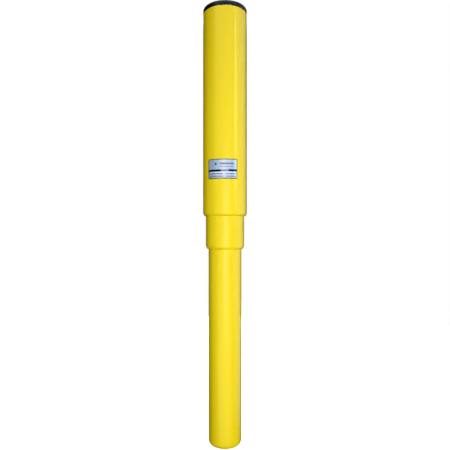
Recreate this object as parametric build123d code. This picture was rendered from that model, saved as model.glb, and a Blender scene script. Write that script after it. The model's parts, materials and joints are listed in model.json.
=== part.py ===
from build123d import *
import math
import os

# Three-stage retractable bollard. Sizes are in millimetres.
# z = 0 is the foot of the post, +Z runs up the post and the name plate faces -Y.
# The post is drawn fully raised, which is its rest position.

# ---- overall sizes -------------------------------------------------------
post_height = 1003.0
cap_height = 11.5
step_height = 75.5
base_overlap = 95.5

# ---- tubes: three neighbouring standard sizes, one wall thickness ---------
wall = 4.0
base_radius = 76.1 / 2
middle_step = 12.8 / 2
head_step = 12.7 / 2
lip_clearance = 0.65
nose_axial = 10.0
lip_height = 4.0
rim_radius = 2.5

# ---- clearances -----------------------------------------------------------
running_gap = 0.05
seat_gap = 0.05
groove_gap = 0.05
stop_gap = 0.3
buffer_gap = 0.5
head_end_gap = 3.0
bush_gap = 0.2

# ---- mouth of the middle and head tubes ------------------------------------
wiper_height = 6.0
bush_height = 24.8
snap_ring_height = 2.0
snap_groove_depth = 1.2
stop_ring_height = 12.0
wear_ring_height = 14.0
wear_ring_drop = 4.0
ring_groove_depth = 1.0

# ---- foot plug --------------------------------------------------------------
plug_height = 30.0
anchor_bore_radius = 7.0
anchor_depth = 24.0
anchor_lead_in = 1.2
drain_radius = 3.0
drain_offset = 25.0

# ---- clevis that holds the gas spring ---------------------------------------
clevis_plate_x = 48.0
clevis_plate_y = 36.0
clevis_plate_height = 6.0
clevis_pin_z = plug_height + 30.0
clevis_pin_radius = 4.0
clevis_pin_half_length = 18.3
ear_thickness = 5.0
ear_inner_x = 9.3
ear_round_radius = 12.0
clip_thickness = 0.8
clip_radius = 6.5
bracket_screw_x = 19.5
bracket_screw_y = 13.0
bracket_screw_radius = 2.5
bracket_screw_length = 20.0

# ---- gas spring -------------------------------------------------------------
cylinder_radius = 14.0
cylinder_wall = 1.5
cylinder_low_z = clevis_pin_z + 20.0
cylinder_floor = 8.0
cylinder_drop = 12.0
cylinder_lip = 2.0
gland_height = 10.0
rod_seal_height = 3.0
rod_radius = 5.0
piston_gap = 0.5
piston_height = 8.0
piston_nut_height = 5.0
rod_tip_radius = rod_radius - 1.05
rod_tip_length = 1.0
end_room = 18.95
release_bore_depth = 34.0
steady_drop = 25.0
steady_height = 10.0

# ---- bulkhead inside the head tube ------------------------------------------
bulkhead_drop = 36.0
bulkhead_height = 8.0
bulkhead_ring_height = 2.5
buffer_height = 7.5
buffer_inner = base_radius - 14.05
buffer_outer = base_radius + 1.75
buffer_screw_circle_radius = base_radius - 8.05
buffer_screw_angles = (90, 210, 330)
buffer_counterbore = 5.2
pillar_circle_radius = base_radius + middle_step + head_step - wall - 10.8
pillar_radius = 5.0
pillar_stud_radius = 3.0
pillar_angles = (30, 150, 270)
nut_flats = 17.0
rod_nut_height = 8.0
jam_nut_height = 5.0

# ---- cap ---------------------------------------------------------------------
cap_edge_radius = 5.0
cap_plate = 5.0
spigot_length = 15.0
spigot_wall = 5.2
cap_screw_radius = 2.5
o_ring_drop = 6.0
o_ring_radius = 1.5

# ---- release mechanism under the cap -----------------------------------------
key_offset_y = 12.0
key_journal_radius = 6.0
key_head_radius = 8.9
key_head_gap = 0.4
key_recess_depth = 10.0
key_boss_radius = 15.0
key_socket_flats = 8.0
key_square = 7.9
key_swing_deg = 90.0
release_stroke = 2.5
cam_radius = 17.0
cam_drop = 9.0
stop_dowel_radius = 2.0
stop_dowel_orbit = 10.5
button_radius = 3.0
release_pin_radius = 1.5
spring_wire_radius = 0.35
spring_radius = 2.4

# ---- name plate ----------------------------------------------------------------
plate_rise = 82.5
plate_height = 44.0
plate_thickness = 0.5
plate_corner_radius = 2.5
plate_left_deg = 46.0
plate_right_deg = 32.0

# ---- radii that follow from the sizes above --------------------------------------
middle_radius = base_radius + middle_step
head_radius = middle_radius + head_step
nose_radial = middle_step - lip_clearance
base_bore = base_radius - wall
middle_bore = middle_radius - wall
head_bore = head_radius - wall
cylinder_bore = cylinder_radius - cylinder_wall

# ---- levels, from the top down ------------------------------------------------------
head_top_z = post_height - cap_height
bulkhead_top_z = head_top_z - bulkhead_drop
bulkhead_low_z = bulkhead_top_z - bulkhead_height
buffer_low_z = bulkhead_low_z - buffer_height

# Lowered, the buffer stands on the base tube and the gas rod's end stands end_room above the
# cylinder's floor. Raised, the buffer is higher by the whole travel. Both together give the
# base tube's height.
cylinder_floor_z = cylinder_low_z + cylinder_floor
rod_end_drop = (
    cylinder_drop + cylinder_lip + groove_gap + gland_height + rod_seal_height
    + piston_gap + piston_height + piston_nut_height + rod_tip_length)
base_top_z = (buffer_low_z - buffer_gap + cylinder_floor_z + end_room + rod_end_drop) / 2
total_travel = buffer_low_z - buffer_gap - base_top_z
head_travel = step_height - head_end_gap
middle_travel = total_travel - head_travel

middle_low_z = base_top_z - base_overlap
head_low_z = middle_low_z + step_height
ground_line_z = middle_low_z - middle_travel
middle_top_z = buffer_low_z - head_travel - 2.5
stop_ring_rise = nose_axial + wiper_height + bush_gap + bush_height + snap_ring_height + stop_gap
base_stop_low_z = middle_low_z + stop_ring_rise
lift_ring_low_z = head_low_z + stop_ring_rise
base_wear_low_z = base_top_z - wear_ring_height - wear_ring_drop
middle_wear_low_z = middle_top_z - wear_ring_height - wear_ring_drop

cylinder_top_z = base_top_z - cylinder_drop
gland_top_z = cylinder_top_z - cylinder_lip - groove_gap
gland_low_z = gland_top_z - gland_height
seal_low_z = gland_low_z - rod_seal_height
piston_top_z = seal_low_z - piston_gap
piston_low_z = piston_top_z - piston_height
piston_nut_low_z = piston_low_z - piston_nut_height
steady_high_z = cylinder_top_z - steady_drop
steady_low_z = steady_high_z - steady_height
rod_top_z = bulkhead_top_z + rod_nut_height + 2
button_low_z = rod_top_z + 6
button_top_z = button_low_z + button_radius

cam_top_z = head_top_z - cam_drop
cam_pocket_top_z = cam_top_z - 3
key_boss_low_z = cam_top_z + stop_gap
recess_floor_z = post_height - key_recess_depth
key_head_low_z = recess_floor_z + 0.1
key_head_top_z = post_height - 2
pillar_top_z = head_top_z - 2
spigot_low_z = head_top_z - spigot_length
spigot_outer = head_bore - seat_gap
spigot_inner = spigot_outer - spigot_wall
o_ring_z = head_top_z - o_ring_drop
plate_low_z = head_low_z + plate_rise
plate_high_z = plate_low_z + plate_height

nodes = {}


# ---- shared shapes ---------------------------------------------------------------
def turned(points):
    """Solid of revolution about Z from a closed (radius, height) outline."""
    outline = Polyline(*points, close=True)
    return revolve(Plane.XZ * make_face(outline), axis=Axis.Z)


def ring(inner, outer, low, high):
    return turned([(inner, low), (outer, low), (outer, high), (inner, high)])


def rod(radius, low, high, x=0.0, y=0.0):
    return Pos(x, y, (low + high) / 2) * Cylinder(radius, high - low)


def cross_rod(radius, x_low, x_high, z):
    return Pos((x_low + x_high) / 2, 0, z) * Rot(0, 90, 0) * Cylinder(radius, x_high - x_low)


def block(x_low, x_high, y_low, y_high, z_low, z_high):
    centre = ((x_low + x_high) / 2, (y_low + y_high) / 2, (z_low + z_high) / 2)
    return Pos(*centre) * Box(x_high - x_low, y_high - y_low, z_high - z_low)


def hexagon_prism(flats, low, high, x=0.0, y=0.0):
    corner_radius = flats / math.sqrt(3)
    return Pos(x, y, low) * extrude(RegularPolygon(corner_radius, 6), high - low)


def polar(radius, angle_deg):
    angle = math.radians(angle_deg)
    return radius * math.cos(angle), radius * math.sin(angle)


def nosed_tube(outer, low, high):
    """Tube whose lower end is spun inwards to a smooth rounded nose."""
    bore = outer - wall
    lip = outer - nose_radial
    nose_top = low + nose_axial
    outside = EllipticalCenterArc((lip, nose_top), nose_radial, nose_axial, start_angle=270, arc_size=90)
    inside = EllipticalCenterArc(
        (lip, nose_top), bore - lip, nose_axial - lip_height, start_angle=270, arc_size=90)
    edges = [
        outside,
        Line((outer, nose_top), (outer, high)),
        Line((outer, high), (bore, high)),
        Line((bore, high), (bore, nose_top)),
        inside,
        Line((lip, low + lip_height), (lip, low)),
    ]
    return revolve(Plane.XZ * make_face(edges), axis=Axis.Z)


def split_ring(inner, outer, low, high, gap, angle_deg):
    """Springy ring with one gap, so that it can be opened over a groove."""
    cutter = Rot(0, 0, angle_deg) * block(0, outer + 5, -gap / 2, gap / 2, low - 1, high + 1)
    return ring(inner, outer, low, high) - cutter


def lugged_ring(inner, outer, low, high, angle_deg):
    """Internal retaining ring with two plier holes beside its gap."""
    shape = ring(inner, outer, low, high)
    for side in (-1, 1):
        lug_angle = angle_deg + side * 5
        x, y = polar(inner, lug_angle)
        shape += rod(2.6, low, high, x, y)
    for side in (-1, 1):
        lug_angle = angle_deg + side * 5
        x, y = polar(inner - 0.3, lug_angle)
        shape -= rod(1.0, low - 1, high + 1, x, y)
    cutter = Rot(0, 0, angle_deg) * block(20, outer + 5, -1.5, 1.5, low - 1, high + 1)
    return shape - cutter


def socket_screw(shank_radius, head_radius_mm, head_height, seat_z, length, direction, flats, x, y):
    """Cap screw. direction +1 puts the head above the seat, -1 below it."""
    if direction > 0:
        shape = rod(shank_radius, seat_z - length, seat_z, x, y)
        shape += rod(head_radius_mm, seat_z, seat_z + head_height, x, y)
        socket = hexagon_prism(flats, seat_z + head_height / 2, seat_z + head_height + 1, x, y)
    else:
        shape = rod(shank_radius, seat_z, seat_z + length, x, y)
        shape += rod(head_radius_mm, seat_z - head_height, seat_z, x, y)
        socket = hexagon_prism(flats, seat_z - head_height - 1, seat_z - head_height / 2, x, y)
    return shape - socket


# ---- mouth set: wiper, guide bush and snap ring just above a rounded nose -----------
def mouth_set(name, inner_tube_radius, bore, low):
    slide_radius = inner_tube_radius + running_gap
    seat_radius = bore - seat_gap
    wiper_low = low + nose_axial
    wiper_high = wiper_low + wiper_height
    bush_low = wiper_high + bush_gap
    bush_high = bush_low + bush_height
    nodes[name + "_wiper"] = turned([
        (slide_radius, wiper_low),
        (slide_radius, wiper_low + 1.2),
        (slide_radius + 0.9, wiper_low + 4),
        (slide_radius + 0.9, wiper_high),
        (seat_radius, wiper_high),
        (seat_radius, wiper_low),
    ])
    nodes[name + "_mouth_bush"] = turned([
        (slide_radius + 0.6, bush_low),
        (slide_radius, bush_low + 2),
        (slide_radius, bush_high - 2),
        (slide_radius + 0.6, bush_high),
        (seat_radius, bush_high),
        (seat_radius, bush_low),
    ])
    nodes[name + "_snap_ring"] = split_ring(
        slide_radius + 0.7, bore + snap_groove_depth - 0.1, bush_high, bush_high + snap_ring_height, 6, 90)


def snap_groove(bore, low):
    groove_low = low + nose_axial + wiper_height + bush_gap + bush_height - groove_gap
    groove_high = groove_low + snap_ring_height + 2 * groove_gap
    return ring(bore - 1, bore + snap_groove_depth, groove_low, groove_high)


def outer_groove(outer, low, height):
    return ring(outer - ring_groove_depth, outer + 1, low - groove_gap, low + height + groove_gap)


# ---- base tube and foot plug --------------------------------------------------------
base_tube = nosed_tube(base_radius, 0, base_top_z)
base_tube -= outer_groove(base_radius, base_stop_low_z, stop_ring_height)
base_tube -= outer_groove(base_radius, base_wear_low_z, wear_ring_height)
nodes["base_tube"] = base_tube

plug_boss_radius = base_radius - nose_radial - seat_gap
plug_radius = base_bore - seat_gap
base_plug = turned([
    (0, 0), (plug_boss_radius, 0), (plug_boss_radius, nose_axial),
    (plug_radius, nose_axial), (plug_radius, plug_height), (0, plug_height),
])
base_plug -= rod(anchor_bore_radius, -1, anchor_depth)
base_plug -= turned([
    (0, -0.01), (anchor_bore_radius + anchor_lead_in, -0.01),
    (anchor_bore_radius, anchor_lead_in), (0, anchor_lead_in),
])
for side in (-1, 1):
    base_plug -= rod(drain_radius, -1, plug_height + 1, 0, side * drain_offset)
for x in (-bracket_screw_x, bracket_screw_x):
    for y in (-bracket_screw_y, bracket_screw_y):
        base_plug -= rod(bracket_screw_radius + 0.05, plug_height - 15, plug_height + 1, x, y)
nodes["base_plug"] = base_plug

# ---- clevis bracket, its screws, pin and clips ----------------------------------------
plate_top = plug_height + clevis_plate_height
half_x = clevis_plate_x / 2
half_y = clevis_plate_y / 2
spring_bracket = block(-half_x, half_x, -half_y, half_y, plug_height, plate_top)
spring_bracket = fillet(spring_bracket.edges().filter_by(Axis.Z), 4)
for side in (-1, 1):
    near = side * ear_inner_x
    far = side * (ear_inner_x + ear_thickness)
    x_low = min(near, far)
    x_high = max(near, far)
    spring_bracket += block(x_low, x_high, -ear_round_radius, ear_round_radius, plate_top, clevis_pin_z)
    spring_bracket += cross_rod(ear_round_radius, x_low, x_high, clevis_pin_z)
spring_bracket -= cross_rod(clevis_pin_radius + 0.05, -30, 30, clevis_pin_z)
for x in (-bracket_screw_x, bracket_screw_x):
    for y in (-bracket_screw_y, bracket_screw_y):
        spring_bracket -= rod(bracket_screw_radius + 0.25, plug_height - 1, plate_top + 1, x, y)
nodes["spring_bracket"] = spring_bracket

bracket_screws = []
for x in (-bracket_screw_x, bracket_screw_x):
    for y in (-bracket_screw_y, bracket_screw_y):
        bracket_screws.append(socket_screw(
            bracket_screw_radius, 4.25, 5, plate_top, bracket_screw_length, 1, 4, x, y))
nodes["bracket_screws"] = Compound(bracket_screws)

clip_near_x = ear_inner_x + ear_thickness + 0.3
clevis_pin = cross_rod(clevis_pin_radius, -clevis_pin_half_length, clevis_pin_half_length, clevis_pin_z)
clevis_pin = chamfer(clevis_pin.edges(), 0.6)
for side in (-1, 1):
    x_near = side * (clip_near_x - groove_gap)
    x_far = side * (clip_near_x + clip_thickness + groove_gap)
    x_low = min(x_near, x_far)
    x_high = max(x_near, x_far)
    groove = cross_rod(clevis_pin_radius + 1, x_low, x_high, clevis_pin_z)
    groove -= cross_rod(clevis_pin_radius - 1, x_low, x_high, clevis_pin_z)
    clevis_pin -= groove
nodes["clevis_pin"] = clevis_pin

clevis_clips = []
for side in (-1, 1):
    x_near = side * clip_near_x
    x_far = side * (clip_near_x + clip_thickness)
    x_low = min(x_near, x_far)
    x_high = max(x_near, x_far)
    clip = cross_rod(clip_radius, x_low, x_high, clevis_pin_z)
    clip -= cross_rod(clevis_pin_radius - 1 + groove_gap, x_low - 1, x_high + 1, clevis_pin_z)
    clip -= block(x_low - 1, x_high + 1, -2.2, 2.2, clevis_pin_z - 8, clevis_pin_z)
    clevis_clips.append(clip)
nodes["clevis_clips"] = Compound(clevis_clips)

# ---- gas spring: eye, cylinder, gland, seal and steady ------------------------------------
gas_eye = cross_rod(10, -9, 9, clevis_pin_z)
gas_eye += rod(5, clevis_pin_z + 8, cylinder_low_z + 5.5)
gas_eye -= cross_rod(clevis_pin_radius + 0.05, -10, 10, clevis_pin_z)
nodes["gas_spring_eye"] = gas_eye

cylinder_mouth = rod_radius + 1.5
gas_cylinder = turned([
    (0, cylinder_low_z), (cylinder_radius, cylinder_low_z),
    (cylinder_radius, cylinder_top_z), (cylinder_mouth, cylinder_top_z),
    (cylinder_mouth, cylinder_top_z - cylinder_lip), (cylinder_bore, cylinder_top_z - cylinder_lip),
    (cylinder_bore, cylinder_floor_z), (0, cylinder_floor_z),
])
gas_cylinder -= rod(5.05, cylinder_low_z - 1, cylinder_low_z + 6)
nodes["gas_cylinder"] = gas_cylinder
nodes["gas_gland"] = ring(rod_radius + running_gap, cylinder_bore - seat_gap, gland_low_z, gland_top_z)
nodes["rod_seal"] = turned([
    (rod_radius + running_gap, seal_low_z), (rod_radius + running_gap, seal_low_z + 1),
    (rod_radius + 0.6, gland_low_z), (cylinder_bore - seat_gap, gland_low_z),
    (cylinder_bore - seat_gap, seal_low_z),
])

steady = ring(cylinder_radius + seat_gap, cylinder_radius + 4, steady_low_z, steady_high_z)
steady += ring(base_bore - 4, base_bore - 0.1, steady_low_z, steady_high_z)
for angle in (0, 90, 180, 270):
    spoke = block(cylinder_radius + 2, base_bore - 2, -2.5, 2.5, steady_low_z, steady_high_z)
    steady += Rot(0, 0, angle) * spoke
nodes["cylinder_steady"] = steady

# ---- rings on the base tube and the middle tube ---------------------------------------------
nodes["base_stop_ring"] = split_ring(
    base_radius - ring_groove_depth + groove_gap, middle_bore - stop_gap,
    base_stop_low_z, base_stop_low_z + stop_ring_height, 3, 200)
nodes["base_wear_ring"] = split_ring(
    base_radius - ring_groove_depth + groove_gap, middle_bore - running_gap,
    base_wear_low_z, base_wear_low_z + wear_ring_height, 2, 20)

middle_tube = nosed_tube(middle_radius, middle_low_z, middle_top_z)
middle_tube -= snap_groove(middle_bore, middle_low_z)
middle_tube -= outer_groove(middle_radius, lift_ring_low_z, stop_ring_height)
middle_tube -= outer_groove(middle_radius, middle_wear_low_z, wear_ring_height)
nodes["middle_tube"] = middle_tube
mouth_set("middle", base_radius, middle_bore, middle_low_z)
nodes["middle_lift_ring"] = split_ring(
    middle_radius - ring_groove_depth + groove_gap, head_bore - stop_gap,
    lift_ring_low_z, lift_ring_low_z + stop_ring_height, 3, 200)
nodes["middle_wear_ring"] = split_ring(
    middle_radius - ring_groove_depth + groove_gap, head_bore - running_gap,
    middle_wear_low_z, middle_wear_low_z + wear_ring_height, 2, 20)

# ---- head tube ---------------------------------------------------------------------------------
lower_ring_z = bulkhead_low_z - bulkhead_ring_height
head_tube = nosed_tube(head_radius, head_low_z, head_top_z)
rim_cutter = ring(head_radius - rim_radius, head_radius + 1, head_top_z - rim_radius, head_top_z + 1)
rim_section = Pos(head_radius - rim_radius, 0, head_top_z - rim_radius) * Rot(90, 0, 0) * Circle(rim_radius)
head_tube -= rim_cutter - revolve(rim_section, axis=Axis.Z)
head_tube -= snap_groove(head_bore, head_low_z)
for groove_z in (lower_ring_z, bulkhead_top_z):
    head_tube -= ring(
        head_bore - 1, head_bore + snap_groove_depth,
        groove_z - groove_gap, groove_z + bulkhead_ring_height + groove_gap)
nodes["head_tube"] = head_tube
mouth_set("head", middle_radius, head_bore, head_low_z)

# ---- bulkhead, its retaining rings, buffer and buffer screws -------------------------------------
bulkhead = rod(head_bore - seat_gap, bulkhead_low_z, bulkhead_top_z)
bulkhead -= rod(rod_radius + 0.1, bulkhead_low_z - 1, bulkhead_top_z + 1)
for angle in pillar_angles:
    x, y = polar(pillar_circle_radius, angle)
    bulkhead -= rod(pillar_stud_radius + 0.05, bulkhead_low_z - 1, bulkhead_top_z + 1, x, y)
for angle in buffer_screw_angles:
    x, y = polar(buffer_screw_circle_radius, angle)
    bulkhead -= rod(2.05, bulkhead_low_z - 1, bulkhead_low_z + 7, x, y)
for angle in (0, 90, 180, 270):
    x, y = polar(18, angle)
    bulkhead -= rod(3.5, bulkhead_low_z - 1, bulkhead_top_z + 1, x, y)
nodes["bulkhead"] = bulkhead
nodes["bulkhead_lower_ring"] = lugged_ring(
    head_bore - 3.6, head_bore + snap_groove_depth - 0.1, lower_ring_z, bulkhead_low_z, 90)
nodes["bulkhead_upper_ring"] = lugged_ring(
    head_bore - 3.6, head_bore + snap_groove_depth - 0.1,
    bulkhead_top_z, bulkhead_top_z + bulkhead_ring_height, 90)

screw_seat_z = buffer_low_z + buffer_counterbore
buffer_ring = ring(buffer_inner, buffer_outer, buffer_low_z, bulkhead_low_z)
for angle in buffer_screw_angles:
    x, y = polar(buffer_screw_circle_radius, angle)
    buffer_ring -= rod(3.8, buffer_low_z - 1, screw_seat_z, x, y)
    buffer_ring -= rod(2.2, buffer_low_z - 1, bulkhead_low_z + 1, x, y)
nodes["buffer_ring"] = buffer_ring
buffer_screws = []
for angle in buffer_screw_angles:
    x, y = polar(buffer_screw_circle_radius, angle)
    buffer_screws.append(socket_screw(2.0, 3.5, 3, screw_seat_z, 9, -1, 2.5, x, y))
nodes["buffer_screws"] = Compound(buffer_screws)

# ---- gas spring rod, piston and nuts -------------------------------------------------------------
gas_rod = turned([
    (0, piston_nut_low_z - rod_tip_length), (rod_tip_radius, piston_nut_low_z - rod_tip_length),
    (rod_tip_radius, piston_top_z), (rod_radius, piston_top_z),
    (rod_radius, rod_top_z), (release_pin_radius + running_gap, rod_top_z),
    (release_pin_radius + running_gap, rod_top_z - release_bore_depth),
    (0, rod_top_z - release_bore_depth),
])
nodes["gas_rod"] = gas_rod
nodes["gas_piston"] = ring(rod_tip_radius + 0.05, cylinder_bore - 0.08, piston_low_z, piston_top_z)
nodes["piston_nut"] = (
    hexagon_prism(13, piston_nut_low_z, piston_low_z)
    - rod(rod_tip_radius + 0.05, piston_nut_low_z - 1, piston_low_z + 1))
nodes["rod_jam_nut"] = (
    hexagon_prism(nut_flats, bulkhead_low_z - jam_nut_height, bulkhead_low_z)
    - rod(rod_radius + seat_gap, bulkhead_low_z - jam_nut_height - 1, bulkhead_low_z + 1))
nodes["rod_nut"] = (
    hexagon_prism(nut_flats, bulkhead_top_z, bulkhead_top_z + rod_nut_height)
    - rod(rod_radius + seat_gap, bulkhead_top_z - 1, bulkhead_top_z + rod_nut_height + 1))

# ---- pillars that carry the cap ------------------------------------------------------------------
cap_pillars = []
for angle in pillar_angles:
    x, y = polar(pillar_circle_radius, angle)
    pillar = rod(pillar_radius, bulkhead_top_z, pillar_top_z, x, y)
    pillar += rod(pillar_stud_radius, bulkhead_low_z + 1, bulkhead_top_z, x, y)
    pillar -= rod(cap_screw_radius + 0.05, pillar_top_z - 18, pillar_top_z + 1, x, y)
    cap_pillars.append(pillar)
nodes["cap_pillars"] = Compound(cap_pillars)

# ---- cap -----------------------------------------------------------------------------------------
cap_edges = [
    Line((0, post_height), (head_radius - cap_edge_radius, post_height)),
    CenterArc((head_radius - cap_edge_radius, post_height - cap_edge_radius), cap_edge_radius, 0, 90),
    Line((head_radius, post_height - cap_edge_radius), (head_radius, head_top_z)),
    Line((head_radius, head_top_z), (spigot_outer, head_top_z)),
    Line((spigot_outer, head_top_z), (spigot_outer, spigot_low_z)),
    Line((spigot_outer, spigot_low_z), (spigot_inner, spigot_low_z)),
    Line((spigot_inner, spigot_low_z), (spigot_inner, post_height - cap_plate)),
    Line((spigot_inner, post_height - cap_plate), (0, post_height - cap_plate)),
    Line((0, post_height - cap_plate), (0, post_height)),
]
top_cap = revolve(Plane.XZ * make_face(cap_edges), axis=Axis.Z)
top_cap += rod(key_boss_radius, key_boss_low_z, post_height - cap_plate + 1, 0, key_offset_y)
for angle in pillar_angles:
    x, y = polar(pillar_circle_radius, angle)
    top_cap += rod(6.2, pillar_top_z, post_height - cap_plate + 1, x, y)
for angle in pillar_angles:
    x, y = polar(pillar_circle_radius, angle)
    top_cap -= rod(cap_screw_radius + 0.1, pillar_top_z - 1, post_height + 1, x, y)
    top_cap -= Pos(x, y, 0) * turned([
        (0, post_height - 2.6), (2.6, post_height - 2.6), (5.2, post_height), (5.2, post_height + 1),
        (0, post_height + 1)])
top_cap -= rod(key_journal_radius + running_gap, key_boss_low_z - 1, post_height, 0, key_offset_y)
top_cap -= rod(key_head_radius + key_head_gap, recess_floor_z, post_height + 1, 0, key_offset_y)
dowel_x = 0.0
dowel_y = key_offset_y + stop_dowel_orbit
top_cap -= rod(stop_dowel_radius + 0.05, key_boss_low_z - 1, key_boss_low_z + 5, dowel_x, dowel_y)
o_ring_groove_radius = spigot_outer - 2 * o_ring_radius - 0.1
o_ring_groove_half = o_ring_radius + 0.1
top_cap -= ring(
    o_ring_groove_radius, spigot_outer + 1, o_ring_z - o_ring_groove_half, o_ring_z + o_ring_groove_half)
nodes["top_cap"] = top_cap

cap_screws = []
for angle in pillar_angles:
    x, y = polar(pillar_circle_radius, angle)
    screw = Pos(x, y, 0) * turned([
        (0, pillar_top_z - 12), (cap_screw_radius, pillar_top_z - 12), (cap_screw_radius, post_height - 2.5),
        (4.9, post_height - 0.1), (0, post_height - 0.1)])
    screw -= hexagon_prism(3, post_height - 2.2, post_height + 1, x, y)
    cap_screws.append(screw)
nodes["cap_screws"] = Compound(cap_screws)

o_ring_section = Pos(head_bore - o_ring_radius - 0.03, 0, o_ring_z) * Rot(90, 0, 0) * Circle(o_ring_radius)
nodes["cap_o_ring"] = revolve(o_ring_section, axis=Axis.Z)
nodes["key_stop_dowel"] = rod(
    stop_dowel_radius, cam_top_z - 2.4, key_boss_low_z + 4.9, dowel_x, dowel_y)

# ---- key spindle, cam disc and cam screw ---------------------------------------------------------
key_spindle = rod(key_head_radius, key_head_low_z, key_head_top_z, 0, key_offset_y)
key_spindle += rod(key_journal_radius, cam_top_z, key_head_low_z, 0, key_offset_y)
key_spindle += block(
    -key_square / 2, key_square / 2, key_offset_y - key_square / 2, key_offset_y + key_square / 2,
    cam_pocket_top_z + 0.1, cam_top_z)
key_spindle -= hexagon_prism(key_socket_flats, key_head_low_z + 0.9, key_head_top_z + 1, 0, key_offset_y)
key_spindle -= rod(2.05, cam_pocket_top_z - 1, cam_pocket_top_z + 11, 0, key_offset_y)
nodes["key_spindle"] = key_spindle

# The underside of the cam is one slanted face. It passes over the release pin, and turning the
# key brings a lower part of it above the pin. The face runs close to a screw thread over 90 degrees.
cam_swing_height = release_stroke / (2 * math.sin(math.radians(key_swing_deg / 2)))
cam_slope = cam_swing_height / key_offset_y
cam_mean_z = button_top_z + stop_gap - release_stroke / 2
uphill_deg = 270 - key_swing_deg / 2
uphill_x, uphill_y = polar(1, uphill_deg)
slant = Plane(
    origin=(0, key_offset_y, cam_mean_z),
    z_dir=(-cam_slope * uphill_x, -cam_slope * uphill_y, 1))
cam_disc = rod(cam_radius, cam_mean_z - 6, cam_top_z, 0, key_offset_y)
cam_disc = split(cam_disc, bisect_by=slant, keep=Keep.TOP)
cam_disc -= rod(4.3, cam_mean_z - 8, cam_pocket_top_z, 0, key_offset_y)
square_hole = key_square / 2 + 0.05
cam_disc -= block(
    -square_hole, square_hole, key_offset_y - square_hole, key_offset_y + square_hole,
    cam_pocket_top_z - 1, cam_top_z + 1)
slot_half_width = stop_dowel_radius + 0.3
stop_slot = ring(
    stop_dowel_orbit - slot_half_width, stop_dowel_orbit + slot_half_width, cam_top_z - 3, cam_top_z + 1)
stop_slot = stop_slot & block(-30, 0, 0, 30, cam_top_z - 4, cam_top_z + 2)
for angle in (90, 90 + key_swing_deg):
    x, y = polar(stop_dowel_orbit, angle)
    stop_slot += rod(slot_half_width, cam_top_z - 3, cam_top_z + 1, x, y)
cam_disc -= Pos(0, key_offset_y, 0) * stop_slot
nodes["cam_disc"] = cam_disc
nodes["cam_screw"] = socket_screw(2.0, 3.5, 2.8, cam_pocket_top_z, 9, -1, 2.5, 0, key_offset_y)

# ---- release pin and its return spring -----------------------------------------------------------
pin_low_z = rod_top_z - release_bore_depth + release_stroke + 1.5
pin_edges = [
    Line((0, pin_low_z), (release_pin_radius, pin_low_z)),
    Line((release_pin_radius, pin_low_z), (release_pin_radius, button_low_z)),
    Line((release_pin_radius, button_low_z), (button_radius, button_low_z)),
    CenterArc((0, button_low_z), button_radius, 0, 90),
    Line((0, button_top_z), (0, pin_low_z)),
]
nodes["release_pin"] = revolve(Plane.XZ * make_face(pin_edges), axis=Axis.Z)

spring_height = button_low_z - rod_top_z - 2 * spring_wire_radius - 0.1
spring_path = Helix(pitch=spring_height / 3, height=spring_height, radius=spring_radius)
spring_section = Plane(origin=spring_path @ 0, z_dir=spring_path % 0) * Circle(spring_wire_radius)
release_spring = sweep(spring_section, path=spring_path)
nodes["release_spring"] = Pos(0, 0, rod_top_z + spring_wire_radius + 0.05) * release_spring

# ---- name plate ----------------------------------------------------------------------------------
plate = ring(head_radius, head_radius + plate_thickness, plate_low_z, plate_high_z)
sector_reach = 200.0
left_x, left_y = polar(sector_reach, 270 - plate_left_deg)
right_x, right_y = polar(sector_reach, 270 + plate_right_deg)
sector = make_face(Polyline((0, 0), (left_x, left_y), (right_x, right_y), close=True))
plate = plate & (Pos(0, 0, plate_low_z - 1) * extrude(sector, plate_high_z - plate_low_z + 2))
corner_edges = plate.edges().filter_by(lambda edge: abs(edge.length - plate_thickness) < 0.02)
plate = fillet(corner_edges, plate_corner_radius)
nodes["name_plate"] = plate

# ---- write one file for each piece ---------------------------------------------------------------
os.makedirs("parts", exist_ok=True)
for name, shape in nodes.items():
    export_step(shape, "parts/" + name + ".step")
print(len(nodes), "pieces written")
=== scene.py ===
import json
import math
import bpy
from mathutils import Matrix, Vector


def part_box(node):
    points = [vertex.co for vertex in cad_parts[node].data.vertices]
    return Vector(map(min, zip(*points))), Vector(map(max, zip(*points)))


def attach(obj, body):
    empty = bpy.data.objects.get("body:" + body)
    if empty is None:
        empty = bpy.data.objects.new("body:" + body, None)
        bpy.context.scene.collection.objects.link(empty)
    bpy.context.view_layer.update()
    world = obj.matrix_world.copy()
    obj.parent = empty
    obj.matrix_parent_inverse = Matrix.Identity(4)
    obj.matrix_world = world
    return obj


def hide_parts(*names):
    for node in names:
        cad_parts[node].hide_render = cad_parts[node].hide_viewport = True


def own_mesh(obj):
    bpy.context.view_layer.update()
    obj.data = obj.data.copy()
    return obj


# The retractable bollard's looks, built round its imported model. Metres, +Z up, name plate towards -Y.
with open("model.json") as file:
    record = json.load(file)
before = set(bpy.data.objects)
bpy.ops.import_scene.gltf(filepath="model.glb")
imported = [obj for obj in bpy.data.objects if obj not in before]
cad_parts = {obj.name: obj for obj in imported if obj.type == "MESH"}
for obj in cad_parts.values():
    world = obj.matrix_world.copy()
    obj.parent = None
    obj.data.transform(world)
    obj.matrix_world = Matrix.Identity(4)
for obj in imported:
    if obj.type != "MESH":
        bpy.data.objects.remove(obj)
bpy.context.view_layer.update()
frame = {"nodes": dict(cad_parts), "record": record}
nodes = frame["nodes"]
record = frame["record"]

# ---- sizes read from the frame ---------------------------------------------------------
head_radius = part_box("head_tube")[1].x
plate_low, plate_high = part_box("name_plate")

# ---- camera: level, a little above half height, about a metre in front -----------------
CAMERA_DISTANCE = 1.0
CAMERA_HEIGHT = 0.504
LENS_MM = 34.4
SENSOR_MM = 36.0

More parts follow.
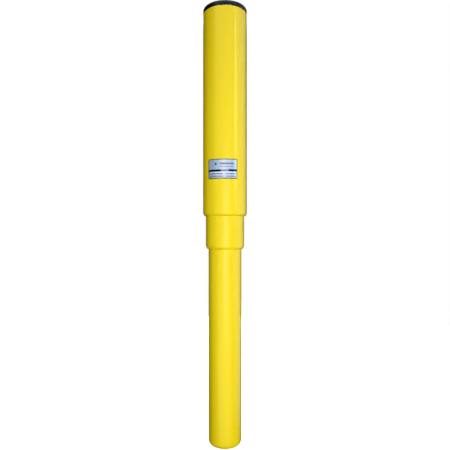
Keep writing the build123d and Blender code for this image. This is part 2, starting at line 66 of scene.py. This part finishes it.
# ---- sizes that the frame doesn't give -----------------------------------------------
PLATE_THICKNESS = 0.0005
SPRING_TURNS = 3
SPRING_WIRE_RADIUS = 0.00035
FLOOR_RADIUS = 1.6
FLOOR_DROP = 0.0005

WHITE = (1.0, 1.0, 1.0)
SKY = (0.80, 0.90, 1.0)
PINK = (1.0, 0.75, 0.80)


# ---- small helpers for node materials --------------------------------------------------
def new_material(name):
    material = bpy.data.materials.new(name)
    material.use_nodes = True
    tree = material.node_tree
    shader = tree.nodes["Principled BSDF"]
    return material, tree, shader


def add_node(tree, kind, **settings):
    node = tree.nodes.new(kind)
    for key, value in settings.items():
        setattr(node, key, value)
    return node


def object_coordinates(tree):
    return add_node(tree, "ShaderNodeTexCoord").outputs["Object"]


def noise(tree, scale, detail=4.0, roughness=0.55, stretch=(1.0, 1.0, 1.0)):
    mapping = add_node(tree, "ShaderNodeMapping")
    mapping.inputs["Scale"].default_value = stretch
    tree.links.new(object_coordinates(tree), mapping.inputs["Vector"])
    texture = add_node(tree, "ShaderNodeTexNoise")
    texture.inputs["Scale"].default_value = scale
    texture.inputs["Detail"].default_value = detail
    texture.inputs["Roughness"].default_value = roughness
    tree.links.new(mapping.outputs["Vector"], texture.inputs["Vector"])
    return texture.outputs["Fac"]


def math_node(tree, operation, first, second=None):
    node = add_node(tree, "ShaderNodeMath", operation=operation)
    for socket, value in zip(node.inputs, (first, second)):
        if value is None:
            continue
        if isinstance(value, (int, float)):
            socket.default_value = value
        else:
            tree.links.new(value, socket)
    return node.outputs[0]


def remap(tree, value, low, high, to_low, to_high):
    node = add_node(tree, "ShaderNodeMapRange")
    node.inputs["From Min"].default_value = low
    node.inputs["From Max"].default_value = high
    node.inputs["To Min"].default_value = to_low
    node.inputs["To Max"].default_value = to_high
    tree.links.new(value, node.inputs["Value"])
    return node.outputs["Result"]


def mix_colour(tree, factor, first, second):
    node = add_node(tree, "ShaderNodeMix", data_type="RGBA")
    if isinstance(factor, (int, float)):
        node.inputs[0].default_value = factor
    else:
        tree.links.new(factor, node.inputs[0])
    for socket, value in ((node.inputs[6], first), (node.inputs[7], second)):
        if isinstance(value, tuple):
            socket.default_value = (*value, 1.0)
        else:
            tree.links.new(value, socket)
    return node.outputs[2]


def bump(tree, shader, height, strength, distance):
    node = add_node(tree, "ShaderNodeBump")
    node.inputs["Strength"].default_value = strength
    node.inputs["Distance"].default_value = distance
    tree.links.new(height, node.inputs["Height"])
    tree.links.new(node.outputs["Normal"], shader.inputs["Normal"])


def axes(tree):
    split = add_node(tree, "ShaderNodeSeparateXYZ")
    tree.links.new(object_coordinates(tree), split.inputs[0])
    return split.outputs["X"], split.outputs["Y"], split.outputs["Z"]


def inside(tree, value, low, high, soft):
    """1 where value lies between low and high, with a soft edge."""
    rise = remap(tree, value, low - soft, low + soft, 0.0, 1.0)
    fall = remap(tree, value, high - soft, high + soft, 1.0, 0.0)
    return math_node(tree, "MULTIPLY", rise, fall)


# ---- materials -------------------------------------------------------------------------
def yellow_paint():
    material, tree, shader = new_material("yellow_paint")
    broad = noise(tree, 6.0, detail=3.0, stretch=(1.0, 1.0, 0.4))
    colour = mix_colour(
        tree, remap(tree, broad, 0.35, 0.65, 0.0, 1.0), (0.925, 0.722, 0.006), (0.950, 0.742, 0.008))
    tree.links.new(colour, shader.inputs["Base Color"])
    fine = noise(tree, 60.0, detail=2.0)
    tree.links.new(remap(tree, fine, 0.3, 0.7, 0.20, 0.25), shader.inputs["Roughness"])
    peel = noise(tree, 900.0, detail=1.0, roughness=0.4)
    bump(tree, shader, peel, 0.03, 0.00004)
    shader.inputs["Specular IOR Level"].default_value = 0.35
    return material


def black_cap():
    material, tree, shader = new_material("black_cap")
    grain = noise(tree, 900.0, detail=3.0)
    cloud = noise(tree, 30.0, detail=3.0)
    colour = mix_colour(
        tree, remap(tree, cloud, 0.3, 0.7, 0.0, 1.0), (0.003, 0.003, 0.005), (0.006, 0.006, 0.010))
    tree.links.new(colour, shader.inputs["Base Color"])
    tree.links.new(remap(tree, grain, 0.3, 0.7, 0.26, 0.36), shader.inputs["Roughness"])
    shader.inputs["Specular IOR Level"].default_value = 0.16
    shader.inputs["Specular Tint"].default_value = (0.72, 0.86, 1.0, 1.0)
    bump(tree, shader, grain, 0.15, 0.0001)
    return material


def rubber():
    material, tree, shader = new_material("rubber")
    grain = noise(tree, 700.0, detail=4.0)
    colour = mix_colour(tree, grain, (0.010, 0.010, 0.010), (0.028, 0.028, 0.028))
    tree.links.new(colour, shader.inputs["Base Color"])
    tree.links.new(remap(tree, grain, 0.3, 0.7, 0.62, 0.8), shader.inputs["Roughness"])
    bump(tree, shader, grain, 0.3, 0.0002)
    return material


def acetal():
    material, tree, shader = new_material("acetal")
    grain = noise(tree, 300.0, detail=3.0)
    colour = mix_colour(tree, grain, (0.66, 0.64, 0.56), (0.76, 0.74, 0.67))
    tree.links.new(colour, shader.inputs["Base Color"])
    tree.links.new(remap(tree, grain, 0.3, 0.7, 0.35, 0.5), shader.inputs["Roughness"])
    rings = add_node(tree, "ShaderNodeTexWave", wave_type="BANDS", bands_direction="Z")
    rings.inputs["Scale"].default_value = 600.0
    tree.links.new(object_coordinates(tree), rings.inputs["Vector"])
    bump(tree, shader, rings.outputs["Fac"], 0.15, 0.0001)
    return material


def metal(name, dark, light, rough_low, rough_high, grain_scale, stretch=(1.0, 1.0, 1.0)):
    material, tree, shader = new_material(name)
    grain = noise(tree, grain_scale, detail=5.0, stretch=stretch)
    cloud = noise(tree, 60.0, detail=3.0)
    colour = mix_colour(tree, remap(tree, cloud, 0.35, 0.65, 0.0, 1.0), dark, light)
    tree.links.new(colour, shader.inputs["Base Color"])
    tree.links.new(remap(tree, grain, 0.3, 0.7, rough_low, rough_high), shader.inputs["Roughness"])
    shader.inputs["Metallic"].default_value = 1.0
    bump(tree, shader, grain, 0.12, 0.0001)
    return material


def black_steel():
    material, tree, shader = new_material("black_steel")
    grain = noise(tree, 500.0, detail=3.0)
    colour = mix_colour(tree, grain, (0.012, 0.012, 0.013), (0.030, 0.030, 0.032))
    tree.links.new(colour, shader.inputs["Base Color"])
    tree.links.new(remap(tree, grain, 0.3, 0.7, 0.32, 0.45), shader.inputs["Roughness"])
    bump(tree, shader, grain, 0.2, 0.0002)
    return material


def label_foil():
    """Silvery foil with a plain printed layout: a square, bars and rules, and no lettering."""
    material, tree, shader = new_material("label_foil")
    x, y, z = axes(tree)
    angle = math_node(tree, "ARCTAN2", x, math_node(tree, "MULTIPLY", y, -1.0))
    plate_radius = head_radius + PLATE_THICKNESS
    left_depth = head_radius * math.cos(math.asin(-plate_low.x / plate_radius))
    left_angle = math.atan2(plate_low.x, left_depth)
    right_angle = math.asin(plate_high.x / plate_radius)
    across = remap(tree, angle, left_angle, right_angle, 0.0, 1.0)
    up = remap(tree, z, plate_low.z, plate_high.z, 0.0, 1.0)
    soft = 0.004

    def patch(left, right, low, high):
        wide = inside(tree, across, left, right, soft)
        tall = inside(tree, up, low, high, soft * 1.5)
        return math_node(tree, "MULTIPLY", wide, tall)

    bands = noise(tree, 60.0, detail=2.0, stretch=(1.0, 1.0, 0.12))
    foil = mix_colour(
        tree, remap(tree, bands, 0.4, 0.6, 0.0, 1.0), (0.36, 0.52, 0.74), (0.56, 0.60, 0.76))
    black = (0.002, 0.002, 0.004)
    grey = (0.17, 0.17, 0.22)
    blue_grey = (0.12, 0.17, 0.32)
    light = (0.80, 0.86, 0.92)
    frame_colour = (0.045, 0.062, 0.060)

    # left, right, low and high edges, as shares of the label's width and height
    square = (0.26, 0.32, 0.70, 0.80)
    top_bar = (0.42, 0.88, 0.72, 0.80)
    thin_rule = (0.42, 0.88, 0.60, 0.63)
    band_left = (0.03, 0.455, 0.365, 0.465)
    band_middle = (0.455, 0.70, 0.375, 0.455)
    band_right = (0.70, 0.985, 0.375, 0.475)
    pale_rule = (0.06, 0.95, 0.305, 0.335)
    layout = [
        (square, black), (top_bar, grey), (thin_rule, grey),
        (band_middle, grey), (band_left, black), (band_right, black), (pale_rule, light)]
    for low in (0.10, 0.235):
        layout.append(((0.06, 0.52, low, low + 0.04), blue_grey))
        layout.append(((0.62, 0.95, low, low + 0.04), blue_grey))
    printed = foil
    ink = None
    for corners, colour in layout:
        mask = patch(*corners)
        printed = mix_colour(tree, mask, printed, colour)
        if colour is black:
            ink = mask if ink is None else math_node(tree, "MAXIMUM", ink, mask)
    middle = patch(0.033, 0.978, 0.042, 0.958)
    printed = mix_colour(tree, middle, frame_colour, printed)
    tree.links.new(printed, shader.inputs["Base Color"])
    shader.inputs["Metallic"].default_value = 0.35
    tree.links.new(remap(tree, bands, 0.3, 0.7, 0.30, 0.42), shader.inputs["Roughness"])
    tree.links.new(remap(tree, ink, 0.0, 1.0, 0.5, 0.0), shader.inputs["Specular IOR Level"])
    return material


def make_materials():
    return {
        "yellow_paint": yellow_paint(),
        "black_cap": black_cap(),
        "label_foil": label_foil(),
        "rubber": rubber(),
        "acetal": acetal(),
        "black_steel": black_steel(),
        "zinc_steel": metal("zinc_steel", (0.50, 0.51, 0.54), (0.62, 0.63, 0.66), 0.28, 0.45, 400.0),
        "stainless": metal("stainless", (0.56, 0.56, 0.57), (0.68, 0.68, 0.69), 0.18, 0.32, 900.0, (1, 1, 6)),
        "chromed_rod": metal("chromed_rod", (0.70, 0.70, 0.72), (0.78, 0.78, 0.80), 0.05, 0.10, 900.0),
        "brass": metal("brass", (0.60, 0.43, 0.16), (0.74, 0.56, 0.25), 0.22, 0.38, 600.0, (1, 1, 5)),
        "spring_steel": metal("spring_steel", (0.16, 0.16, 0.17), (0.26, 0.26, 0.28), 0.30, 0.45, 500.0),
    }


# ---- finish every CAD node -------------------------------------------------------------
materials = make_materials()
for entry in record["subparts"]:
    obj = nodes[entry["node"]]
    material = materials[entry["material_slot"]]
    if obj.material_slots:
        for slot in obj.material_slots:
            slot.material = material
    else:
        obj.data.materials.append(material)


# ---- return spring: a coil that stays on the rod ---------------------------------------
def coil_spring(name, low, high, turns, wire_radius):
    """A round-wire coil round the Z axis, as one closed tube."""
    steps_per_turn = 24
    steps = turns * steps_per_turn
    sides = 10
    coil_radius = (high.x - low.x) / 2 - wire_radius
    bottom = low.z + wire_radius
    rise = high.z - low.z - 2 * wire_radius
    points = []
    for i in range(steps + 1):
        angle = 2 * math.pi * turns * i / steps
        for k in range(sides):
            around = 2 * math.pi * k / sides
            reach = coil_radius + wire_radius * math.cos(around)
            level = bottom + rise * i / steps + wire_radius * math.sin(around)
            points.append((reach * math.cos(angle), reach * math.sin(angle), level))
    faces = []
    for i in range(steps):
        for k in range(sides):
            a = i * sides + k
            b = i * sides + (k + 1) % sides
            faces.append((a, a + sides, b + sides, b))
    faces.append(tuple(range(sides)))
    faces.append(tuple(steps * sides + k for k in reversed(range(sides))))
    mesh = bpy.data.meshes.new(name)
    mesh.from_pydata(points, [], faces)
    mesh.polygons.foreach_set("use_smooth", [len(face) == 4 for face in faces])
    mesh.update()
    coil = bpy.data.objects.new(name, mesh)
    bpy.context.scene.collection.objects.link(coil)
    return coil


spring_low, spring_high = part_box("release_spring")
return_spring = coil_spring(
    "return_spring", spring_low, spring_high, turns=SPRING_TURNS, wire_radius=SPRING_WIRE_RADIUS)
return_spring.data.materials.append(materials["spring_steel"])
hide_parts("release_spring")
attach(return_spring, "head")
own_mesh(return_spring)


# ---- floor, light and camera -----------------------------------------------------------
def aim(obj, target):
    direction = [t - o for t, o in zip(target, obj.location)]
    flat = math.hypot(direction[0], direction[1])
    obj.rotation_euler = (math.atan2(flat, -direction[2]), 0.0, math.atan2(-direction[0], direction[1]))


def area_light(name, azimuth_deg, distance, height, width, tall, radiance, target_z, colour, role):
    """Azimuth 0 is the camera's side and 90 is the viewer's right. Role is shade, gloss or both."""
    data = bpy.data.lights.new(name, "AREA")
    data.shape = "RECTANGLE"
    data.size = width
    data.size_y = tall
    data.energy = radiance * math.pi * width * tall
    data.color = colour
    light = bpy.data.objects.new(name, data)
    bpy.context.scene.collection.objects.link(light)
    angle = math.radians(azimuth_deg)
    light.location = (distance * math.sin(angle), -distance * math.cos(angle), height)
    aim(light, (0.0, 0.0, target_z))
    light.visible_camera = False
    light.visible_diffuse = role != "gloss"
    light.visible_glossy = role != "shade"


def make_floor():
    """A pale disc that reaches behind the camera. It shows white, but lends no light or reflection."""
    steps = 96
    corners = []
    for i in range(steps):
        angle = 2 * math.pi * i / steps
        corners.append((FLOOR_RADIUS * math.cos(angle), FLOOR_RADIUS * math.sin(angle), 0.0))
    mesh = bpy.data.meshes.new("floor")
    mesh.from_pydata(corners, [], [tuple(range(steps))])
    floor = bpy.data.objects.new("floor", mesh)
    bpy.context.scene.collection.objects.link(floor)
    floor.location.z = -FLOOR_DROP
    material, tree, shader = new_material("floor_white")
    grain = noise(tree, 3.0, detail=2.0)
    colour = mix_colour(tree, grain, (0.88, 0.88, 0.88), (0.91, 0.91, 0.91))
    tree.links.new(colour, shader.inputs["Base Color"])
    shader.inputs["Roughness"].default_value = 0.9
    shader.inputs["Emission Color"].default_value = (1.0, 1.0, 1.0, 1.0)
    shader.inputs["Emission Strength"].default_value = 0.90
    mesh.materials.append(material)
    floor.visible_diffuse = False
    floor.visible_glossy = False


def make_world():
    """White to the camera only, so that the paint is lit by the area lights alone."""
    world = bpy.data.worlds.new("studio")
    world.use_nodes = True
    background = world.node_tree.nodes["Background"]
    background.inputs["Color"].default_value = (1.0, 1.0, 1.0, 1.0)
    background.inputs["Strength"].default_value = 1.0
    world.cycles_visibility.glossy = False
    world.cycles_visibility.diffuse = False
    bpy.context.scene.world = world


def make_camera():
    data = bpy.data.cameras.new("camera")
    data.sensor_width = SENSOR_MM
    data.lens = LENS_MM
    data.clip_start = 0.01
    camera = bpy.data.objects.new("camera", data)
    bpy.context.scene.collection.objects.link(camera)
    camera.location = (0.0, -CAMERA_DISTANCE, CAMERA_HEIGHT)
    camera.rotation_euler = (math.pi / 2, 0.0, 0.0)
    bpy.context.scene.camera = camera


# name, azimuth in degrees, distance, height, width, tall, radiance, height aimed at, colour, role
STUDIO_LIGHTS = [
    ("front", 5.0, 1.35, 0.53, 0.7, 0.6, 8.0, 0.5, WHITE, "shade"),
    ("front_low", 5.0, 1.35, 0.17, 0.9, 0.3, 8.5, 0.4, WHITE, "shade"),
    ("left", -88.0, 1.35, 0.65, 0.5, 1.2, 1.7, 0.5, WHITE, "shade"),
    ("right_front", 55.0, 1.35, 0.5, 0.4, 0.9, 2.2, 0.5, WHITE, "shade"),
    ("right", 88.0, 1.35, 0.35, 0.45, 0.9, 2.1, 0.5, WHITE, "shade"),
    ("overhead", 0.0, 0.5, 2.6, 1.2, 0.8, 1.8, 0.9, WHITE, "both"),
    ("back", 180.0, 1.35, 0.56, 0.6, 1.1, 7.0, 0.5, WHITE, "shade"),
    ("back_high", 180.0, 1.3, 2.0, 1.4, 0.8, 2.0, 0.6, SKY, "both"),
    ("front_panel", -10.0, 1.3, 0.65, 2.7, 2.5, 1.0, 0.65, WHITE, "gloss"),
    ("floor_panel", 0.0, 1.2, -0.35, 2.7, 0.8, 1.0, -0.35, WHITE, "gloss"),
    ("streak", 55.5, 1.5, 1.2, 0.26, 1.15, 6.0, 1.2, WHITE, "gloss"),
    ("rim_panel", 0.0, 0.9, 2.5, 3.0, 1.3, 6.0, 0.99, WHITE, "gloss"),
    ("right_panel", 96.0, 1.4, 0.65, 1.75, 2.5, 1.4, 0.65, WHITE, "gloss"),
    ("right_streak", 98.0, 1.5, 0.9, 0.13, 1.8, 1.6, 0.9, PINK, "gloss"),
]

make_floor()
make_world()
make_camera()
for settings in STUDIO_LIGHTS:
    area_light(*settings)
bpy.context.scene.view_settings.view_transform = "Standard"
